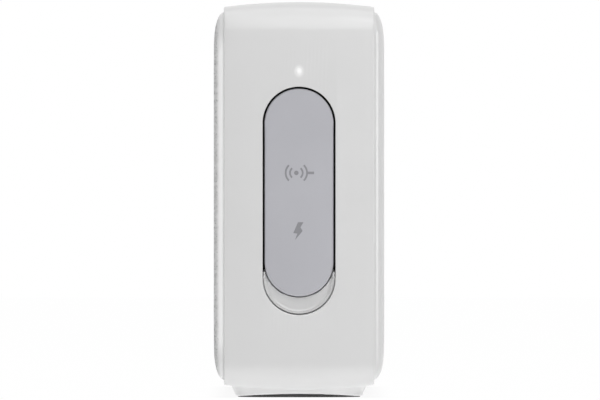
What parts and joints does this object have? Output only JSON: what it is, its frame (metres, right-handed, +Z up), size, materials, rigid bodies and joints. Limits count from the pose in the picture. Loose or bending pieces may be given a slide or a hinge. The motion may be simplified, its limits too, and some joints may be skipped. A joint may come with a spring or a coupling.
{
  "type": "portable wireless loudspeaker",
  "caption": "Portable rechargeable loudspeaker: crowned band, cloth front, domed rear cover, top buttons and a hinged rubber flap over an audio and a charging socket.",
  "frame": {"origin": "centre of the foot pad's underside, on the surface the loudspeaker stands on", "axes": "+X along the length towards the end with the sockets, -Y towards the cloth front, +Z up"},
  "size_m": [0.16, 0.0352, 0.0816],
  "materials": {
    "shell_plastic": "satin light grey moulding",
    "key_plastic": "satin light grey moulding",
    "foot_rubber": "matt dark rubber",
    "cover_rubber": "matt soft grey rubber",
    "seal_rubber": "soft dark rubber",
    "grille_cloth": "melange knitted cloth",
    "dark_plastic": "fine matt texture",
    "clear_plastic": "clear",
    "cone_paper": "coated paper",
    "surround_rubber": "matt",
    "spider_cloth": "resin-stiffened cloth",
    "motor_steel": "plated",
    "winding_copper": "enamelled wire",
    "screw_steel": "black zinc",
    "socket_steel": "plated sheet",
    "board_laminate": "solder mask",
    "chip_plastic": "moulded",
    "connector_plastic": "natural nylon",
    "cell_sleeve": "shrink sleeve",
    "lead_sleeve": "insulation",
    "flex_film": "polyimide film"
  },
  "bodies": {
    "case": {"outer_band": "shell_plastic", "port_well": "dark_plastic", "finger_scoop": "shell_plastic", "cover_web": "cover_rubber", "cover_anchor": "cover_rubber", "light_pipe": "clear_plastic", "grille_carrier": "dark_plastic", "grille_fabric": "grille_cloth", "rear_cover": "shell_plastic", "rear_gasket": "seal_rubber", "front_baffle": "dark_plastic", "baffle_gasket": "seal_rubber", "foot_plinth": "shell_plastic", "foot_pad": "foot_rubber", "button_board": "board_laminate", "button_switches": "chip_plastic", "radiator_frame": "dark_plastic", "radiator_surround": "surround_rubber", "main_board": "board_laminate", "radio_module": "socket_steel", "amplifier_chip": "chip_plastic", "power_inductors": "chip_plastic", "filter_capacitors": "socket_steel", "board_connectors": "connector_plastic", "board_screws": "screw_steel", "port_board": "board_laminate", "usb_socket": "socket_steel", "usb_tongue": "chip_plastic", "aux_socket": "chip_plastic", "status_led": "clear_plastic", "battery_cell": "cell_sleeve", "battery_cradle": "dark_plastic", "wire_leads": "lead_sleeve", "flex_cables": "flex_film", "case_screws": "screw_steel", "left_driver_basket": "dark_plastic", "left_driver_pot": "motor_steel", "left_driver_magnet": "motor_steel", "left_driver_surround": "surround_rubber", "left_driver_spider": "spider_cloth", "right_driver_basket": "dark_plastic", "right_driver_pot": "motor_steel", "right_driver_magnet": "motor_steel", "right_driver_surround": "surround_rubber", "right_driver_spider": "spider_cloth"},
    "flap": {"port_cover": "cover_rubber", "port_seal": "seal_rubber"},
    "power_key": {"power_button": "key_plastic"},
    "pairing_key": {"pairing_button": "key_plastic"},
    "volume_down_key": {"volume_down_button": "key_plastic"},
    "play_key": {"play_button": "key_plastic"},
    "volume_up_key": {"volume_up_button": "key_plastic"},
    "left_cone": {"left_driver_cone": "cone_paper", "left_dust_cap": "cone_paper", "left_voice_coil": "winding_copper"},
    "right_cone": {"right_driver_cone": "cone_paper", "right_dust_cap": "cone_paper", "right_voice_coil": "winding_copper"},
    "radiator": {"radiator_plate": "dark_plastic", "radiator_weight": "motor_steel"}
  },
  "joints": [
    {"name": "flap_hinge", "type": "hinge", "parent": "case", "child": "flap", "pos_m": [0.07929, 0, 0.0566], "axis": [0, -1, 0], "range_deg": [0, 110], "stiffness_Nm_per_rad": 0.004, "deforming": ["cover_web"]},
    {"name": "power_press", "type": "slide", "parent": "case", "child": "power_key", "axis": [0, 0, -1], "range_m": [0, 0.0005], "stiffness_N_per_m": 400},
    {"name": "pairing_press", "type": "slide", "parent": "case", "child": "pairing_key", "axis": [0, 0, -1], "range_m": [0, 0.0005], "stiffness_N_per_m": 400},
    {"name": "volume_down_press", "type": "slide", "parent": "case", "child": "volume_down_key", "axis": [0, 0, -1], "range_m": [0, 0.0005], "stiffness_N_per_m": 400},
    {"name": "play_press", "type": "slide", "parent": "case", "child": "play_key", "axis": [0, 0, -1], "range_m": [0, 0.0005], "stiffness_N_per_m": 400},
    {"name": "volume_up_press", "type": "slide", "parent": "case", "child": "volume_up_key", "axis": [0, 0, -1], "range_m": [0, 0.0005], "stiffness_N_per_m": 400},
    {"name": "left_cone_travel", "type": "slide", "parent": "case", "child": "left_cone", "axis": [0, -1, 0], "range_m": [-0.0012, 0.0012], "stiffness_N_per_m": 1000, "deforming": ["left_driver_surround", "left_driver_spider"]},
    {"name": "right_cone_travel", "type": "slide", "parent": "case", "child": "right_cone", "axis": [0, -1, 0], "range_m": [-0.0012, 0.0012], "stiffness_N_per_m": 1000, "deforming": ["right_driver_surround", "right_driver_spider"]},
    {"name": "radiator_travel", "type": "slide", "parent": "case", "child": "radiator", "axis": [0, -1, 0], "range_m": [-0.0015, 0.0015], "stiffness_N_per_m": 600, "deforming": ["radiator_surround"]}
  ]
}
